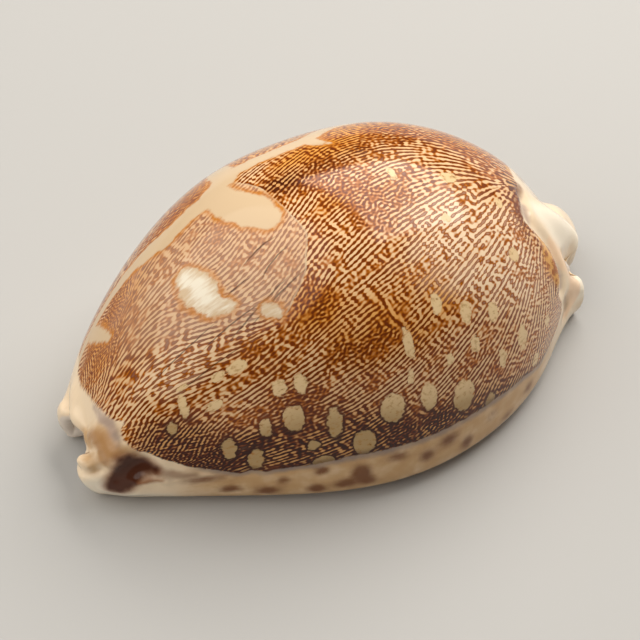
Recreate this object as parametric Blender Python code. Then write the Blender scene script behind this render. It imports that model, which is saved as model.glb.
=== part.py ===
"""Map cowrie: one hollow seashell standing on its base, with its toothed aperture below.

The long axis is X, with the narrow anterior end at -X. The outer lip is the +Y side.
The wall is one closed loft. Each section of its outside runs from the throat round the
outer lip, up the flank, over the back and down to the inner lip, and the hollow follows
it inside. The origin is the bottom centre of the shell.
"""

import bmesh
import bpy
import numpy as np

# Driving dimensions, in metres
HALF_LENGTH = 0.0390
HALF_WIDTH = 0.0246
HEIGHT = 0.0366
WALL = 0.0021
LIP_DEPTH = 0.0048
TOOTH_PITCH = 0.0016
TOOTH_HEIGHT = 0.0007
TOOTHED_HALF_LENGTH = 0.0304

# Sections from the anterior to the posterior end. Each gives its place along the half length,
# the outer and the inner margin as shares of the half width, the crest as a share of the
# height, how far the crest leans to the outer side and how far the base lifts off the ground.
SECTIONS = (
    (-0.900, 0.27, 0.29, 0.235, -0.02, 0.004),
    (-0.872, 0.30, 0.32, 0.310, -0.01, 0.002),
    (-0.835, 0.40, 0.38, 0.400, 0.00, 0.001),
    (-0.744, 0.56, 0.48, 0.540, 0.01, 0.000),
    (-0.538, 0.77, 0.635, 0.765, 0.02, 0.000),
    (-0.256, 0.955, 0.85, 0.954, 0.02, 0.000),
    (0.051, 1.000, 0.98, 0.984, 0.00, 0.000),
    (0.359, 0.951, 0.91, 0.964, 0.00, 0.000),
    (0.615, 0.776, 0.72, 0.814, 0.00, 0.000),
    (0.785, 0.545, 0.45, 0.620, 0.00, 0.002),
    (0.856, 0.400, 0.33, 0.450, -0.03, 0.005),
    (0.890, 0.340, 0.29, 0.330, -0.07, 0.008),
    (0.913, 0.315, 0.285, 0.250, -0.10, 0.010),
)

# The aperture: half its width along the body and at each end, where along X it widens, how
# far its middle line bows, and how far and where each end bends to the inner side
BODY_HALF_GAP = 0.00175
ANTERIOR_HALF_GAP = 0.0023
POSTERIOR_HALF_GAP = 0.0019
WIDENING = (0.020, 0.035)
BOW = 0.0008
BOW_LENGTH = 0.026
ANTERIOR_BEND = 0.0008, (-0.020, -0.036)
POSTERIOR_BEND = 0.0030, (0.008, 0.036)

# Where along X the body's section turns into an end's, the hollow into a canal, the shoulders
# rise, and the lobes part
END_RANGE = (0.0280, 0.0345)
CANAL_RANGE = (0.0285, 0.0335)
SHOULDER_RANGE = (0.0320, 0.0356)
LOBE_RANGE = (0.0300, 0.0350)

# The underside's control points from the throat to the margin, along the body and at the ends:
# share of the way from the aperture to the margin, step further outwards, height above the base
BODY_UNDERSIDE = (
    (0.00, 0.0000, LIP_DEPTH),
    (0.00, 0.0000, 0.0012),
    (0.00, 0.0013, -0.00035),
    (0.45, 0.0000, -0.0003),
    (1.00, -0.0020, 0.0001),
    (1.00, 0.0003, 0.0020),
    (1.00, -0.0003, 0.0054),
)
END_UNDERSIDE = (
    (0.00, 0.0000, LIP_DEPTH - 0.0012),
    (0.00, 0.0006, 0.0018),
    (0.00, 0.0019, -0.00035),
    (0.55, 0.0000, -0.0003),
    (1.00, -0.0006, 0.0001),
    (1.00, 0.0003, 0.0020),
    (1.00, -0.0003, 0.0044),
)
WIDEST_LIP = 0.35
ANTERIOR_LOBE_LIFT = 0.0006

# The flank's control points from the margin to beside the crest, along the body and at the
# ends: share of the half width, share of the crest's height
BODY_FLANK = ((0.985, 0.42), (0.82, 0.76), (0.44, 0.985))
END_FLANK = ((0.985, 0.67), (0.82, 0.88), (0.44, 0.985))
CREST_RISE = 1.035

# How much higher the shoulders beside the crest stand at an end, outer then inner
ANTERIOR_SHOULDERS = (1.05, 0.95)
POSTERIOR_SHOULDERS = (1.36, 0.85)

# The hollow's control points. Its floor: share of the way from the aperture to the outer
# margin, further step, height above the throat. Its roof and the inner whorl that it bends
# round: share of the half width, walls further in, share of the crest's height, walls further
# down. Its pillar beside the aperture: step from the aperture, share of the crest's height.
THROAT_HEIGHT = LIP_DEPTH + 0.0012
HOLLOW_FLOOR = (
    (0.00, 0.0002, 0.0000),
    (0.10, 0.0000, 0.0002),
    (0.30, 0.0000, -0.0010),
    (0.62, 0.0000, -0.0012),
    (1.00, -0.0042, 0.0010),
)
HOLLOW_FLANK = ((0.99, 1.3, 0.36, 0.0), (0.95, 1.25, 0.54, 0.0))
HOLLOW_ROOF = ((0.80, 0.95, 0.76, 0.5), (0.58, 0.6, 0.92, 0.83), (0.30, 0.0, 1.01, 1.0))
INNER_WHORL = (
    (0.93, 1.25, 0.58, 0.0),
    (0.90, 1.4, 0.43, 0.0),
    (0.66, 0.0, 0.42, 0.0),
    (0.40, 0.0, 0.51, 0.0),
)
PILLAR = ((0.0030, 0.29), (0.0006, 0.16), (0.0002, 0.0))

# The canal at each end: its half width in half gaps, its floor and its least height
CANAL_WIDTH = 1.05
CANAL_FLOOR = LIP_DEPTH - 0.0006
LEAST_CANAL = 0.0008

# The lobes of each end, outer then inner: how far they reach past the notch between them,
# the height at which they reach furthest and how quickly they fall away above and below it
ANTERIOR_LOBES = ((0.0007, 0.0055, 0.0045), (0.0026, 0.0062, 0.0045))
POSTERIOR_LOBES = ((0.0035, 0.0052, 0.0048), (0.0009, 0.0045, 0.0035))
NOTCH = (0.0008, 0.0032)

# Local forms: centre, reach along X, Y and Z, and height above the smooth wall
SWELLINGS = {
    "hollow over the sunken spire": ((0.0350, -0.0050, 0.0090), (0.0020, 0.0025, 0.0030), -0.0008),
    "hollow beside the anterior canal": ((-0.0335, -0.0090, 0.0055), (0.0035, 0.0035, 0.0025), -0.0011),
}

# How high a tooth stands on each point of a section, from the throat out over the lip, as a
# share of its full height, and where the teeth fade out at the ends of the row
TOOTH_PROFILE = (0.0, 0.6, 1.0, 1.0, 0.9, 0.55, 0.2)
TOOTH_FADE = (TOOTHED_HALF_LENGTH - 0.003, TOOTHED_HALF_LENGTH + 0.0004)

# Where the mesh cuts a section, in control points from the throat (0) to the crest (10)
LIP_STEPS = (0, 0.6, 1.1, 1.6, 2.1, 2.7)
MARGIN_STEPS = (3.3, 4.0, 4.6, 5.2, 5.8)
CREST = 10
BACK_STEPS = np.linspace(MARGIN_STEPS[-1], CREST, 12)[1:]
LIP = len(LIP_STEPS) - 1

# The spacing of rows past the teeth, and the rounded rim that closes each end
END_STEP = 0.0012
END_ROUNDNESS = 0.7
ROUNDING_ANGLES = np.radians((30, 55, 75))


def smooth_step(low, high, value):
    share = np.clip((value - low) / (high - low), 0.0, 1.0)
    return share * share * (3 - 2 * share)


def spline_weights(count, steps):
    """Cubic B-spline weights of count control points, at steps from 0 to count - 1."""
    steps = np.clip(np.asarray(steps, float), 0, count - 1)
    first = np.minimum(steps.astype(int), count - 2)
    f = steps - first
    weights = np.zeros((len(steps), count + 2))
    rows = np.arange(len(steps))
    weights[rows, first] = (1 - f) ** 3 / 6
    weights[rows, first + 1] = (3 * f**3 - 6 * f**2 + 4) / 6
    weights[rows, first + 2] = (-3 * f**3 + 3 * f**2 + 3 * f + 1) / 6
    weights[rows, first + 3] = f**3 / 6
    inner = weights[:, 1:-1].copy()
    inner[:, 0] += 2 * weights[:, 0]
    inner[:, 1] -= weights[:, 0]
    inner[:, -1] += 2 * weights[:, -1]
    inner[:, -2] -= weights[:, -1]
    return inner


def aperture_middle(x):
    """The aperture's middle line, which bends to the inner side at both ends."""
    middle = BOW * np.cos(x / BOW_LENGTH)
    for bend, (low, high) in (ANTERIOR_BEND, POSTERIOR_BEND):
        middle = middle - bend * smooth_step(low, high, x)
    return middle


def aperture_half_gap(x):
    widest = np.where(x < 0, ANTERIOR_HALF_GAP, POSTERIOR_HALF_GAP)
    return BODY_HALF_GAP + (widest - BODY_HALF_GAP) * smooth_step(*WIDENING, np.abs(x))


def outer_half(x, side, margin, top, crest, lift):
    """Control points of one side of the outside, from the throat to beside the crest."""
    slot, gap = aperture_middle(x), aperture_half_gap(x)
    end = smooth_step(*END_RANGE, abs(x))
    under = np.array(BODY_UNDERSIDE) * (1 - end) + np.array(END_UNDERSIDE) * end
    flank = np.array(BODY_FLANK) * (1 - end) + np.array(END_FLANK) * end
    width = abs(side * margin - slot) - gap
    out = gap + under[:, 0] * width + np.minimum(under[:, 1], WIDEST_LIP * width)
    if side > 0 and x < 0:
        lift += ANTERIOR_LOBE_LIFT * end
    shoulders = ANTERIOR_SHOULDERS if x < 0 else POSTERIOR_SHOULDERS
    shoulder = shoulders[0] if side > 0 else shoulders[1]
    height = crest * (1 + (shoulder - 1) * smooth_step(*SHOULDER_RANGE, abs(x)))
    below = np.column_stack([slot + side * out, lift + under[:, 2]])
    above = np.column_stack([top + (side * margin - top) * flank[:, 0], height * flank[:, 1]])
    return np.concatenate([below, above])


def outer_section(x, outer_margin, inner_margin, crest, lean, lift):
    """Control points of the outside, from the throat of the outer lip to that of the inner."""
    top = (outer_margin - inner_margin) / 2 + lean
    outer = outer_half(x, 1, outer_margin, top, crest, lift)
    inner = outer_half(x, -1, inner_margin, top, crest, lift)
    points = np.concatenate([outer, [(top, crest * CREST_RISE)], inner[::-1]])
    return np.column_stack([np.full(len(points), x), points])


def hollow_section(x, outer_margin, inner_margin, crest, lean, lift):
    """Control points of the hollow, which bends round the inner whorl on the inner side."""
    slot, gap = aperture_middle(x), aperture_half_gap(x)
    top = (outer_margin - inner_margin) / 2 + lean
    floor = lift + THROAT_HEIGHT
    width = outer_margin - slot - gap
    points = [(slot + gap + share * width + step, floor + rise) for share, step, rise in HOLLOW_FLOOR]
    roof = [(1, row) for row in HOLLOW_FLANK + HOLLOW_ROOF] + [(1, (0.0, 0.0, CREST_RISE, 1.0))]
    roof += [(-1, row) for row in HOLLOW_ROOF[::-1] + INNER_WHORL]
    for side, (across, inset, up, drop) in roof:
        half_width = abs(side * (outer_margin if side > 0 else inner_margin) - top)
        points.append((top + side * (across * half_width - inset * WALL), up * crest - drop * WALL))
    points += [(slot - gap - step, floor + share * crest) for step, share in PILLAR]
    return np.column_stack([np.full(len(points), x), points])


def canal_section(x, crest, lift):
    """Control points of the hollow near an end: the arch of the canal between the two lips."""
    angle = np.linspace(0, np.pi, 2 * CREST + 1)
    floor = lift + CANAL_FLOOR
    rise = max(crest - WALL - floor, LEAST_CANAL)
    y = aperture_middle(x) + CANAL_WIDTH * aperture_half_gap(x) * np.cos(angle)
    return np.column_stack([np.full(len(angle), x), y, floor + rise * np.sin(angle)])


def control_nets():
    """The control points of the outside and of the hollow, section by section."""
    outer, hollow, along = [], [], []
    for place, outer_margin, inner_margin, crest, lean, lift in SECTIONS:
        x = place * HALF_LENGTH
        size = np.array((outer_margin, inner_margin, crest, lean, lift))
        size *= (HALF_WIDTH, HALF_WIDTH, HEIGHT, HALF_WIDTH, HEIGHT)
        share = smooth_step(*CANAL_RANGE, abs(x))
        canal = canal_section(x, size[2], size[4])
        outer.append(outer_section(x, *size))
        hollow.append(hollow_section(x, *size) * (1 - share) + canal * share)
        along.append(x)
    return np.array(outer), np.array(hollow), np.array(along)


def row_places(along):
    """Where the mesh cuts the shell along X: on each tooth and in each groove, then to the ends."""
    teeth = np.arange(-TOOTHED_HALF_LENGTH, TOOTHED_HALF_LENGTH + 1e-6, TOOTH_PITCH / 2)
    front = np.linspace(along[0], teeth[0], 1 + round((teeth[0] - along[0]) / END_STEP))
    back = np.linspace(teeth[-1], along[-1], 1 + round((along[-1] - teeth[-1]) / END_STEP))
    return np.concatenate([front[:-1], teeth, back[1:]])


def loft(net, along, places, steps):
    dense = np.linspace(0, len(along) - 1, 2000)
    reached = spline_weights(len(along), dense) @ along
    rows = spline_weights(len(along), np.interp(places, reached, dense))
    return np.einsum("ri,ijk,nj->rnk", rows, net, spline_weights(net.shape[1], steps))


def normals(surface):
    across = np.gradient(surface, axis=1)
    along = np.gradient(surface, axis=0)
    normal = np.cross(along, across)
    return normal / np.linalg.norm(normal, axis=2, keepdims=True)


def add_swellings(surface):
    normal = normals(surface)
    for centre, reach, height in SWELLINGS.values():
        away = (surface - np.array(centre)) / np.array(reach)
        surface = surface + normal * height * np.exp(-(away**2).sum(axis=2))[:, :, None]
    return surface


def add_teeth(surface, places):
    """Raises every second row of both lips into a tooth, and sinks the rows between them."""
    profile = np.zeros(surface.shape[1])
    profile[: len(TOOTH_PROFILE)] = TOOTH_PROFILE
    profile += profile[::-1]
    phase = np.cos(2 * np.pi * (places + TOOTHED_HALF_LENGTH) / TOOTH_PITCH)
    height = TOOTH_HEIGHT / 2 * phase * (1 - smooth_step(*TOOTH_FADE, np.abs(places)))
    return surface + normals(surface) * (height[:, None] * profile[None, :])[:, :, None]


def part_lobes(surface):
    """Draws the two lobes of each end out past the notch of the canal between them."""
    x, y, z = surface[:, :, 0], surface[:, :, 1], surface[:, :, 2]
    aside = y - aperture_middle(x)
    apart = smooth_step(*NOTCH, np.abs(aside)) * smooth_step(*LOBE_RANGE, np.abs(x))
    moved = surface.copy()
    for sign, (outer, inner) in ((-1, ANTERIOR_LOBES), (1, POSTERIOR_LOBES)):
        reach, height, fall = (np.where(aside > 0, *pair) for pair in zip(outer, inner))
        step = sign * reach * apart * np.exp(-(((z - height) / fall) ** 2))
        moved[:, :, 0] += np.where(x * sign > 0, step, 0)
    return moved


def wall_surfaces():
    """The grids of points of the outside and of the hollow, row by row from the anterior end."""
    outer_net, hollow_net, along = control_nets()
    places = row_places(along)
    half = np.concatenate([LIP_STEPS, MARGIN_STEPS, BACK_STEPS])
    ring = np.concatenate([half, 2 * CREST - half[-2::-1]])
    outside = part_lobes(add_teeth(loft(outer_net, along, places, ring), places))
    outside = add_swellings(outside)
    outside[:, :, 2] = np.maximum(outside[:, :, 2], 0.0)
    hollow_steps = np.linspace(0, 2 * CREST, len(ring) - 4 * LIP - 2)
    hollow = part_lobes(loft(hollow_net, along, places, hollow_steps))
    return outside, hollow


def wall_chains(outer, inner):
    """One end's ring as two chains from lip to lip: along the canal, and round the outside."""
    canal = outer[LIP::-1] + inner + outer[: -LIP - 2 : -1]
    return canal, outer[LIP : len(outer) - LIP]


def rounded_chains(canal, outer):
    """The chains of the rows that close an end, drawn in to the middle of its wall on a round edge."""
    middle = (canal + outer) / 2
    middle[:2], middle[-2:] = middle[2], middle[-3]
    depth = END_ROUNDNESS * np.linalg.norm((canal - outer)[:, 1:], axis=1) / 2
    depth[:2], depth[-2:] = depth[2], depth[-3]
    for angle in ROUNDING_ANGLES:
        rows = []
        for chain in (canal, outer):
            row = middle + (chain - middle) * np.cos(angle)
            row[:, 0] += np.sign(chain[:, 0]) * depth * np.sin(angle)
            rows.append(row)
        yield rows


def strip(mesh, near, far):
    """Faces between two chains of corners, which may share a corner at either end."""
    for i in range(len(near) - 1):
        corners = (near[i], near[i + 1], far[i + 1], far[i])
        mesh.faces.new(dict.fromkeys(corners))


def close_end(mesh, outer, inner):
    """Closes the wall at one end with a rounded rim."""
    chains = wall_chains(outer, inner)
    for rows in rounded_chains(*(np.array([corner.co for corner in chain]) for chain in chains)):
        canal = [mesh.verts.new(point) for point in rows[0].tolist()]
        outside = [canal[0]] + [mesh.verts.new(point) for point in rows[1][1:-1].tolist()] + [canal[-1]]
        strip(mesh, chains[0], canal)
        strip(mesh, chains[1], outside)
        chains = canal, outside
    strip(mesh, *chains)


def shell_mesh(outside, hollow):
    mesh = bmesh.new()
    rows = len(outside)
    outer = [[mesh.verts.new(point) for point in row] for row in outside.tolist()]
    inner = [[mesh.verts.new(point) for point in row] for row in hollow[::2].tolist()]
    for near, far in zip(outer, outer[1:]):
        strip(mesh, near, far)
    for near, far in zip(inner, inner[1:]):
        strip(mesh, near, far)
    for r in range(0, rows - 2, 2):
        for i in (0, -1):
            across = (outer[r][i], outer[r + 1][i], outer[r + 2][i], inner[r // 2 + 1][i], inner[r // 2][i])
            mesh.faces.new(across)
    close_end(mesh, outer[0], inner[0])
    close_end(mesh, outer[-1], inner[-1])
    bmesh.ops.triangulate(mesh, faces=[face for face in mesh.faces if len(face.verts) > 4])
    bmesh.ops.recalc_face_normals(mesh, faces=mesh.faces)
    return mesh


def centre_on_base(mesh):
    """Puts the origin at the bottom centre of the shell's box."""
    points = np.array([corner.co for corner in mesh.verts])
    low, high = points.min(axis=0), points.max(axis=0)
    middle = (low + high) / 2
    bmesh.ops.translate(mesh, verts=mesh.verts, vec=(-middle[0], -middle[1], -low[2]))


def shell_material():
    material = bpy.data.materials.new("patterned_shell")
    material.use_nodes = True
    surface = material.node_tree.nodes["Principled BSDF"]
    surface.inputs["Base Color"].default_value = (0.42, 0.20, 0.08, 1)
    surface.inputs["Roughness"].default_value = 0.12
    surface.inputs["Metallic"].default_value = 0.0
    return material


def main():
    for thing in list(bpy.data.objects):
        bpy.data.objects.remove(thing)
    mesh = shell_mesh(*wall_surfaces())
    centre_on_base(mesh)
    data = bpy.data.meshes.new("shell")
    mesh.to_mesh(data)
    mesh.free()
    data.shade_smooth()
    data.materials.append(shell_material())
    group = bpy.data.collections.new("map_cowrie")
    bpy.context.scene.collection.children.link(group)
    group.objects.link(bpy.data.objects.new("shell", data))


main()
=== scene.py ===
"""Map cowrie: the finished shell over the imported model, on a pale floor in soft studio light."""
import math

import bpy
import numpy as np
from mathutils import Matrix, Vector


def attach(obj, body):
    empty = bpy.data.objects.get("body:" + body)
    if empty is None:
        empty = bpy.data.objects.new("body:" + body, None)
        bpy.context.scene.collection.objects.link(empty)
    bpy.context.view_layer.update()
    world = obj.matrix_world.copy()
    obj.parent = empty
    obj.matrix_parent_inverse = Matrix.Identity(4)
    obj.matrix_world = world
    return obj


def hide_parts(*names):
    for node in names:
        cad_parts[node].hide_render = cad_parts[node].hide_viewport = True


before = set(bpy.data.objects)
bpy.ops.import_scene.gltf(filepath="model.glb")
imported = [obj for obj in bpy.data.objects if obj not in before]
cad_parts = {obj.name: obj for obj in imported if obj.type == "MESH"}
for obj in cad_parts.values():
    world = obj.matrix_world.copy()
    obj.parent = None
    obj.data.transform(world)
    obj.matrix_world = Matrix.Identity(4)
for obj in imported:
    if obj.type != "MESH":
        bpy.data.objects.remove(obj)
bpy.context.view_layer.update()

# Sizes in metres. The aperture's middle line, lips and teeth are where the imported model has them.
MERGE = 1e-6
QUAD_ANGLE = math.radians(70)
SMOOTH_LEVELS = 2
HALF_GAP = 0.0018
GAP_SIDE = 0.0004
BOW = 0.0004
BOW_LENGTH = 0.026
ANTERIOR_BEND = 0.0008, (-0.019, -0.035)
POSTERIOR_BEND = 0.0030, (0.007, 0.035)
LIP_DEPTH = 0.0048
LIP_HEIGHTS = (LIP_DEPTH, LIP_DEPTH - 0.0014)
LIP_WIDTHS = (0.0048, 0.0014)
TOOTH_PITCH = 0.0016
TOOTH_HEIGHT = 0.0005
TOOTHED_HALF_LENGTH = 0.0304
TOOTH_START = -TOOTHED_HALF_LENGTH - 0.00126
TOOTH_FADE = (TOOTHED_HALF_LENGTH - 0.003, TOOTHED_HALF_LENGTH + 0.0004)

# The line inside the shell round which places across it are measured: how far it lies to the outer
# side, its height as a share of the crest's, the radius that turns an angle round it into a length,
# and where the crest is measured along the shell
MIDDLE_SIDE = 0.0004
MIDDLE_SHARE = 0.33
BACK_RADIUS = 0.0244
CREST_STATIONS = np.arange(-0.036, 0.0361, 0.002)
CREST_REACH = 0.001

# The net of brown lines, in millimetres: the spacing of lines and links, the size of a cell of the
# textures that draw them, how far copies are shifted along the lines, and how far the lines drift
LINE_SPACING = 0.6
CROSS_SPACING = 1.0
CELL = 2.4
CROSS_CELL = 1.1
LINE_SHIFTS = (-1.3, 0.0, 1.3)
LINE_DRIFT = 0.36
LINE_CONTRAST = 1.5
LINK_CONTRAST = 2.0
MAZE_CONTRAST = 2.4
MAZE_FILL = 0.12
MOST_MAZE = 0.85

# How much browner the net is all over, in dark and pale places, and in patches large and small
NET_FILL = -0.10
DARK_FILL = 0.14
PALE_FILL = -0.16
PATCH_FILL = 0.36
SPECK_FILL = 0.26

# The texture's socket that turns its waves in 2D. Its socket for 3D has the same name.
TURN_SOCKET = 4

# Where along the shell the lines grow wider, in metres, and by how much
WIDER_RANGE = (0.004, 0.018)
WIDER_LINES = 0.2
CLOSENESS_LIMITS = (0.3, 1.6)

# The least that a slope along the shell and a slope across it may count for in the lines' spacing
LEAST_LEVEL = 0.05
LEAST_FACING = 0.35

# How far a wall has to face the shell's middle to be inside it
INSIDE_FACING = (-0.1, -0.4)

# Places on the shell are in millimetres: along it from the middle to the posterior end, and across
# it from the crest, below zero on the near side, which is the shell's inner side, and above zero on
# the far, outer side. The far side's lines mirror the near side's about the mantle line, and each
# place mostly follows the strokes in reach.
MANTLE_MIDDLE = 12.0
FLOW_REACH = 2.6

# How the pattern's lines run: strokes drawn along them, place along and place across
FLOW_STROKES = (
    ((-34.6, -6.0), (-33.4, -1.0), (-32.0, 3.0), (-31.4, 8.0)),
    ((-32.7, -4.9), (-30.7, -2.9), (-28.7, -2.1), (-26.3, -2.5), (-23.9, -4.1), (-21.9, -5.7),
     (-19.9, -7.3)),
    ((-33.9, -12.5), (-31.9, -8.9), (-29.5, -7.3), (-26.7, -7.3), (-23.9, -8.5), (-20.3, -10.9),
     (-14.3, -12.9)),
    ((-33.1, -17.3), (-31.1, -14.1), (-29.1, -12.9), (-27.1, -13.6), (-24.5, -15.0), (-21.0, -16.0)),
    ((-32.8, -25.5), (-32.0, -21.5), (-29.9, -18.3), (-27.5, -17.6), (-23.5, -18.5)),
    ((-31.0, -34.0), (-29.4, -30.0), (-27.4, -26.1), (-25.0, -23.6), (-22.0, -22.2), (-17.0, -20.8)),
    ((-26.0, -35.0), (-25.4, -30.5), (-24.0, -27.2), (-21.5, -25.2), (-16.0, -22.6)),
    ((-19.5, -35.3), (-13.5, -33.4), (-7.1, -30.9), (-3.9, -29.2)),
    ((-17.0, -20.8), (-14.3, -19.6), (-11.1, -17.7), (-7.1, -16.5), (-3.1, -15.2), (0.9, -14.2)),
    ((-11.1, -24.5), (-7.1, -22.7), (-3.1, -21.1)),
    ((-10.5, -14.0), (-8.0, -11.7), (-5.0, -9.3), (-1.1, -7.5), (2.9, -6.2), (6.9, -5.2)),
    ((-28.0, 2.0), (-22.0, 2.3), (-16.0, 3.7)),
    ((-15.9, -6.9), (-12.7, -6.1), (-9.5, -4.3), (-7.1, -2.7)),
    ((-7.1, 5.0), (-4.0, 6.2), (-1.5, 7.2)),
    ((-5.9, -1.0), (-3.1, 1.0), (-0.7, 3.0)),
    ((0.1, -3.7), (3.3, -2.4), (6.9, -1.3), (10.9, -0.7), (14.9, -1.0), (18.9, -1.7), (22.5, -3.1)),
    ((3.0, 4.2), (6.1, 5.4), (10.9, 4.9), (14.9, 4.0), (18.9, 2.6), (22.9, 0.7)),
    ((0.9, -12.5), (4.9, -10.9), (8.9, -9.5), (12.9, -8.2), (16.9, -6.9), (20.1, -5.5)),
    ((4.9, -17.7), (8.9, -16.1), (12.9, -14.3), (16.9, -12.3), (20.1, -10.4), (22.5, -8.4), (24.1, -5.9)),
    ((0.9, -28.5), (4.9, -26.1), (8.9, -23.4), (12.9, -20.5), (16.9, -17.6), (20.1, -15.2), (22.6, -12.2)),
    ((-2.0, -37.5), (1.5, -35.2), (4.1, -33.3), (6.9, -31.5), (12.9, -27.9), (16.1, -25.1), (19.3, -22.1)),
    ((19.3, -22.1), (21.7, -19.4), (23.7, -16.0), (24.9, -12.0)),
    ((14.1, -38.1), (16.4, -34.9), (18.9, -31.0), (20.9, -27.0), (23.0, -22.8)),
    ((24.0, -37.0), (25.0, -31.0), (25.8, -26.0), (25.9, -21.0)),
)

# Where the pattern ends and the callus of the margins and ends begins, point by point round the
# inner side, the posterior end, the outer side and the anterior end
PATTERN_EDGE = (
    (-33.9, -21.9), (-33.6, -23.9), (-33.0, -27.0), (-31.4, -30.5), (-29.8, -33.3), (-28.2, -35.7),
    (-27.0, -37.8), (-25.4, -38.9), (-23.0, -40.9), (-21.2, -41.9), (-19.8, -41.3), (-18.2, -42.2),
    (-15.2, -41.6), (-11.6, -41.5), (-7.8, -40.8), (0.2, -40.7), (9.4, -40.7), (14.8, -40.8),
    (19.8, -41.3), (23.3, -42.9), (26.1, -42.6), (28.5, -42.0), (29.9, -38.4), (29.8, -33.7),
    (28.6, -27.4), (28.3, -24.4), (27.7, -21.3), (27.2, -19.3), (26.6, -16.2), (25.9, -13.3),
    (24.8, -11.0), (25.0, -9.0), (25.6, -7.4), (26.6, -5.6), (27.2, -2.9), (27.6, 1.0), (28.6, 6.0),
    (28.8, 16.0), (28.2, 26.0), (26.5, 36.0), (20.0, 42.0), (8.0, 43.0), (-6.0, 42.5),
    (-18.0, 41.5), (-26.0, 38.0), (-30.5, 31.0), (-33.0, 23.0), (-34.8, 15.0), (-35.2, 9.0),
    (-35.1, 2.5), (-34.9, -5.8), (-34.5, -12.5), (-33.9, -15.6), (-33.0, -17.6), (-33.9, -19.0),
)

# The mantle line as strokes from end to end: place along, place across, half its width
MANTLE_LINE = (
    ((-35.5, 19.0, 1.6), (-29.0, 16.0, 1.3), (-24.5, 13.5, 1.4), (-20.0, 10.0, 1.9), (-14.0, 9.6, 1.7),
     (-9.5, 12.2, 1.5), (-3.0, 11.8, 1.3), (2.0, 12.2, 1.4), (6.5, 15.5, 1.2), (13.0, 17.0, 1.0),
     (20.0, 16.0, 0.8), (25.0, 14.0, 0.4)),
    ((-10.2, 11.0, 1.7), (-9.5, 16.0, 1.7), (-8.8, 22.0, 1.2), (-6.0, 27.0, 0.5)),
    ((2.0, 11.4, 0.9), (3.4, 9.3, 0.7), (4.2, 8.7, 0.3)),
    ((-12.5, 9.0, 2.0), (-11.8, 5.0, 2.3), (-10.0, 2.0, 2.6), (-9.0, -0.2, 1.9)),
    ((-31.6, 15.0, 0.9), (-31.2, 9.0, 0.7), (-30.8, 5.5, 0.3)),
)
BLEACHED = (
    ((-20.8, 0.2, 1.4), (-20.2, -3.5, 2.2), (-19.4, -7.5, 1.4), (-17.8, -8.8, 1.0)),
    ((-13.8, -12.0, 0.9), (-12.8, -13.2, 0.8)),
)

# Pale round windows in the pattern: place along, place across, half width, half height
WINDOWS = (
    (-1.8, -33.2, 1.6, 2.4), (3.3, -33.3, 1.15, 2.2), (8.6, -36.0, 1.6, 2.8), (-5.8, -38.3, 1.4, 2.3),
    (-9.3, -33.4, 0.9, 2.6), (-14.2, -30.8, 1.2, 2.5), (-17.6, -31.4, 0.7, 2.0), (-22.2, -34.6, 0.8, 2.6),
    (-19.2, -38.6, 0.9, 2.4), (-12.2, -37.2, 0.7, 0.9), (13.0, -40.4, 0.8, 1.4), (19.5, -32.0, 0.8, 2.5),
    (15.5, -33.4, 0.6, 1.8), (11.2, -28.2, 0.7, 1.3), (7.1, -28.8, 0.5, 0.9), (10.7, -22.9, 0.8, 1.5),
    (14.9, -24.6, 0.8, 1.5), (6.8, -20.2, 0.7, 1.4), (1.7, -24.0, 0.6, 2.0), (1.2, -29.0, 0.4, 1.0),
    (8.5, -1.0, 0.5, 1.1), (15.8, -3.4, 1.1, 0.9), (-26.4, -20.8, 0.5, 2.6), (-21.6, -18.3, 0.8, 0.9),
    (-19.3, -18.2, 1.2, 1.0), (-15.2, -24.4, 0.8, 1.4), (-12.6, -24.8, 0.7, 1.6), (22.2, -40.2, 0.7, 1.4),
    (-28.3, -25.0, 0.5, 1.4), (-26.0, -17.0, 0.6, 0.5), (-22.9, -23.4, 0.9, 1.0), (20.8, -17.0, 0.8, 1.2),
    (25.2, -33.5, 0.5, 1.6), (12.5, -9.6, 0.6, 0.6), (-11.0, -41.4, 1.3, 1.5), (21.6, -8.0, 0.5, 0.8),
)

# Where the shell has worn down to a paler layer, whose edge is sharp at its posterior side
WORN_FACET = (
    (-10.0, 9.6), (-7.7, 5.2), (-6.6, 0.0), (-5.6, -5.0), (-8.0, -10.0), (-12.0, -14.0), (-15.0, -12.8),
    (-18.0, -12.2), (-22.0, -10.0), (-27.0, -7.0), (-31.0, -3.0), (-31.0, 8.0), (-24.0, 12.5),
)

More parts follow.
